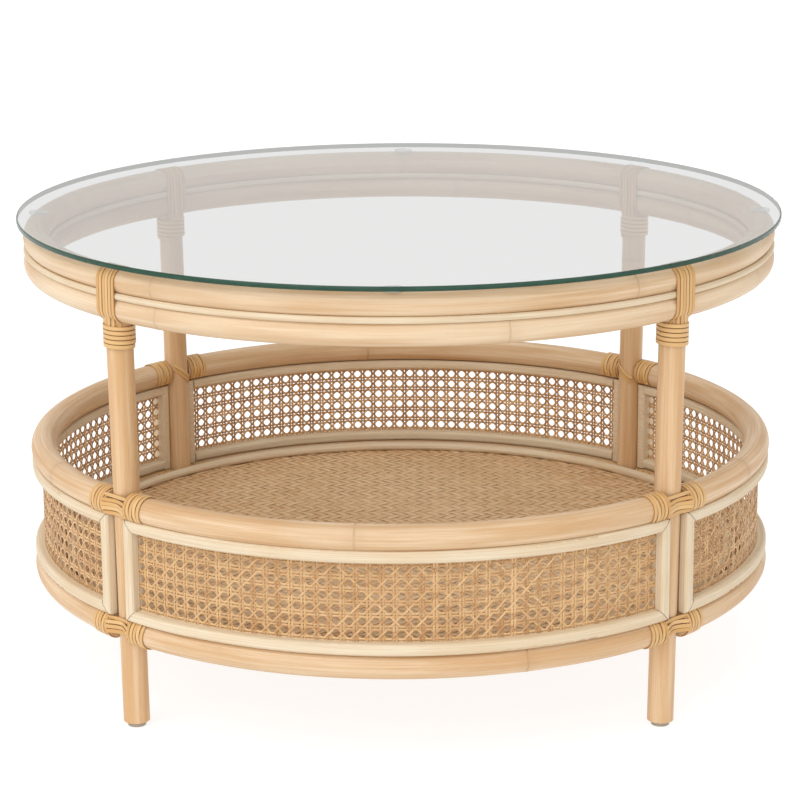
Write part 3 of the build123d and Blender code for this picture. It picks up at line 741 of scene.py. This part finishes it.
def collar_run(corner, top_z):
    """A strand wound down the leg over the ends of the strap, with its own ends tucked in."""
    points, ways = [], []
    for share in np.linspace(0.0, collar_turns, collar_turns * 32 + 1):
        z = top_z - peel_width / 2 - collar_pitch * share
        a = 2 * math.pi * share + collar_start
        tuck = collar_tuck * max(0.0, 1.0 - 6.0 * min(share, collar_turns - share))
        reach = leg_reach + peel_thickness + collar_lift - tuck
        points.append((leg_axis(corner, z) + reach * math.cos(a), reach * math.sin(a), z))
        ways.append((math.cos(a), math.sin(a), 0.0))
    return points, ways, False


def rail_turn(rail_z, side, number, start, end):
    """One turn of the wrap on a rail beside the leg, open where the strips are."""
    points, ways = [], []
    sway = rail_sway * math.sin(number * 2.4 + side + rail_z * 90.0)
    for a in np.radians(np.linspace(start, end, 29)):
        out = hoop_radius + rail_reach * math.cos(a)
        offset = wrap_start + peel_width / 2 + number * rail_pitch + sway * math.sin(a * 2)
        swing = offset / hoop_radius
        c, s = math.cos(swing), side * math.sin(swing)
        points.append((out * c, out * s, rail_z + rail_reach * math.sin(a)))
        ways.append((math.cos(a) * c, math.cos(a) * s, math.sin(a)))
    return points, ways, False


def leg_bridge(corner, rail_z, z, number):
    """A strand laid straight across the leg from the wrap on one rail to the wrap on the other."""
    on_rail = hoop_radius + math.sqrt(max(pole_radius**2 - (z - rail_z) ** 2, 0.0)) + peel_thickness * 0.7
    on_leg = leg_axis(corner, z) + leg_reach
    points, ways = [], []
    for aside in np.linspace(-wrap_start - bridge_overlap, wrap_start + bridge_overlap, 15):
        share = min(1.0, abs(aside) / wrap_start)
        out = max(on_leg, on_leg + (on_rail - on_leg) * share**1.5)
        sag = bridge_sag * math.sin(number * 1.9 + aside * 70.0)
        points.append((out, aside, z + sag))
        ways.append((1.0, 0.0, 0.0))
    return points, ways, False


def inner_crossing(corner, z):
    """A short slanting strand across the inner face of the leg."""
    axis, points, ways = leg_axis(corner, z), [], []
    for a in np.radians(np.linspace(-crossing_half_turn, crossing_half_turn, 13)):
        out, aside = -math.cos(a), math.sin(a)
        points.append((axis + leg_reach * out, leg_reach * aside, z + crossing_slope * leg_reach * aside))
        ways.append((out, aside, 0.0))
    return points, ways, False


def bind(name, node, runs, width):
    sizes = {"Width": width, "Thickness": peel_thickness, "Round": 0.00055, "Finish": peel_finish}
    wound = made_by(peel_tree, name, path_of(name, runs), **sizes)
    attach(wound, "frame")
    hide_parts(node)


frame_low, frame_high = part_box("outer_frame_front")
top_z, floor_z = rail_heights["top"], rail_heights["floor"]
top_start = math.degrees(math.asin((frame_high.z + strip_gap - top_z) / rail_reach))
floor_end = math.degrees(math.asin((frame_low.z - strip_gap - floor_z) / rail_reach))
collar_top = hoop_heights["lower"] - pole_radius - collar_gap
both_sides = [(side, n) for side in (-1, 1) for n in range(rail_turns)]
for corner, angle in CORNERS.items():
    axis = leg_axis(corner, collar_top)
    strap = []
    for n in range(strap_strands):
        offset = (n - 2.5) * strap_pitch + strap_waver * math.sin(n * 2.3 + angle)
        strap.append(strap_run(axis, offset, collar_top - strap_tuck))
    strap.append(collar_run(corner, collar_top))
    bind(f"hoop_wrap_{corner}", f"hoop_binding_{corner}", around_table(angle, strap), peel_width)

    top_runs = [rail_turn(top_z, side, n, top_start, 180.0 - top_start) for side, n in both_sides]
    top_runs += [leg_bridge(corner, top_z, frame_high.z + 0.0026 + n * 0.0044, n) for n in range(5)]
    top_runs += [inner_crossing(corner, top_z + n * crossing_pitch) for n in (-0.5, 0.5)]
    top_wrap = around_table(angle, top_runs)
    bind(f"top_rail_wrap_{corner}", f"top_rail_binding_{corner}", top_wrap, rail_peel_width)

    floor_runs = [rail_turn(floor_z, side, n, floor_end, -180.0 - floor_end) for side, n in both_sides]
    floor_runs += [leg_bridge(corner, floor_z, frame_low.z - 0.0028 - n * 0.0045, n) for n in range(4)]
    floor_wrap = around_table(angle, floor_runs)
    bind(f"floor_rail_wrap_{corner}", f"floor_rail_binding_{corner}", floor_wrap, rail_peel_width)

# The floor boards: a plywood disc under the mat on two crossed battens of planed softwood.
# They show only from below, where the face veneer and the saw marks are left plain.
def plank_finish(name, pale, dark, along_x):
    material, tree = start_finish(name)
    place = spot_on(tree)
    lengthwise = stretch(tree, place, 3.0 if along_x else 42.0, 42.0 if along_x else 3.0, 42.0)
    warp = grain(tree, lengthwise, 1.0, 3.0, 0.6, 0.6)
    fine = grain(tree, lengthwise, 9.0, 3.0, 0.7)
    bands = (warp * 9.0).sum("FRACT", warp * 9.0)
    plank = blend_colours(tree, between(tree, bands, 0.1, 0.9), pale, dark)
    plank = blend_colours(tree, between(tree, fine, 0.5, 0.75, 0.0, 0.5), plank, tuple(c * 0.7 for c in dark))
    give_finish(tree, Base_Color=plank, Roughness=between(tree, fine, 0.3, 0.7, 0.55, 0.75))
    give_finish(tree, Specular_IOR_Level=0.3, Normal=relief(tree, fine, 0.0002))
    return material


wear("shelf_board", plank_finish("plywood_face", (0.60, 0.42, 0.25), (0.5, 0.33, 0.18), True))
wear("shelf_crossbar_lower", plank_finish("batten_wood_x", (0.62, 0.45, 0.28), (0.52, 0.35, 0.2), True))
wear("shelf_crossbar_upper", plank_finish("batten_wood_y", (0.62, 0.45, 0.28), (0.52, 0.35, 0.2), False))


# The glass: clear float glass with a ground and polished rim, which looks dark green because it
# is seen along the sheet. It lies loose on four clear soft pads.
glass_finish, tree = start_finish("clear_glass")
glass_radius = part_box("glass_top")[1].x
place = spot_on(tree)
split = tie(tree, "ShaderNodeSeparateXYZ", {}, [place])
x, y = split[0], split[1]
out = x.sum("SQRT", x * x + y * y)
rim = between(tree, out, glass_radius - 0.0021, glass_radius - 0.0009)
smudge = grain(tree, place, 5.0, 3.0)
rim_tint = grain(tree, place, 60.0, 2.0)
rim_colour = blend_colours(tree, rim_tint, (0.004, 0.035, 0.018), (0.012, 0.075, 0.045))
give_finish(tree, Base_Color=rim_colour, Roughness=0.2, IOR=1.5, Specular_IOR_Level=0.3)
clear = tie(tree, "ShaderNodeBsdfTransparent", {}, {"Color": (0.855, 0.862, 0.86, 1.0)})[0]
mirror = {"Color": (0.98, 0.98, 0.98, 1.0), "Roughness": between(tree, smudge, 0.3, 0.7, 0.0, 0.03)}
polish = tie(tree, "ShaderNodeBsdfGlossy", {}, mirror)[0]
from_behind = tie(tree, "ShaderNodeNewGeometry")["Backfacing"]
one_face = tie(tree, "ShaderNodeFresnel", {}, {"IOR": 1.68})[0]
sheen = one_face * 2.0 / (one_face + 1.0) * (1 - from_behind)
sheet = tie(tree, "ShaderNodeMixShader", {}, [sheen, clear, polish])[0]
body = Thread(tree.nodes["Principled BSDF"].outputs[0])
whole = tie(tree, "ShaderNodeMixShader", {}, [rim * 0.97, sheet, body])[0]
tree.links.new(whole.socket, tree.nodes["Material Output"].inputs["Surface"])
wear("glass_top", glass_finish)

pad_finish, tree = start_finish("clear_pad")
place = spot_on(tree)
haze = grain(tree, place, 220.0, 2.0)
milk = blend_colours(tree, haze, (0.62, 0.66, 0.64), (0.8, 0.83, 0.82))
give_finish(tree, Base_Color=milk, Roughness=0.22, Alpha=between(tree, haze, 0.2, 0.8, 0.38, 0.52), IOR=1.45)
for side in SIDES:
    wear(f"glass_pad_{side}", pad_finish)


# The feet and fixings: grey plastic glides nailed under the legs, and zinc-plated screws and
# nails, nearly all of them sunk in the wood or under the bindings.
glide_finish, tree = start_finish("grey_glide_plastic")
place = spot_on(tree)
scuff = grain(tree, place, 420.0, 3.0, 0.7)
worn = blend_colours(tree, scuff, (0.3, 0.25, 0.19), (0.42, 0.36, 0.29))
give_finish(tree, Base_Color=worn, Roughness=between(tree, scuff, 0.3, 0.7, 0.38, 0.55))
give_finish(tree, Normal=relief(tree, scuff, 0.00006))
for corner in CORNERS:
    wear(f"foot_glide_{corner}", glide_finish)

zinc_finish, tree = start_finish("zinc_plate")
place = spot_on(tree)
brush = grain(tree, place, 900.0, 2.0)
plate = blend_colours(tree, brush, (0.46, 0.46, 0.47), (0.66, 0.66, 0.67))
give_finish(tree, Base_Color=plate, Roughness=between(tree, brush, 0.3, 0.7, 0.28, 0.42), Metallic=1.0)
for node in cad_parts:
    if node.endswith(("screws", "nails")):
        wear(node, zinc_finish)
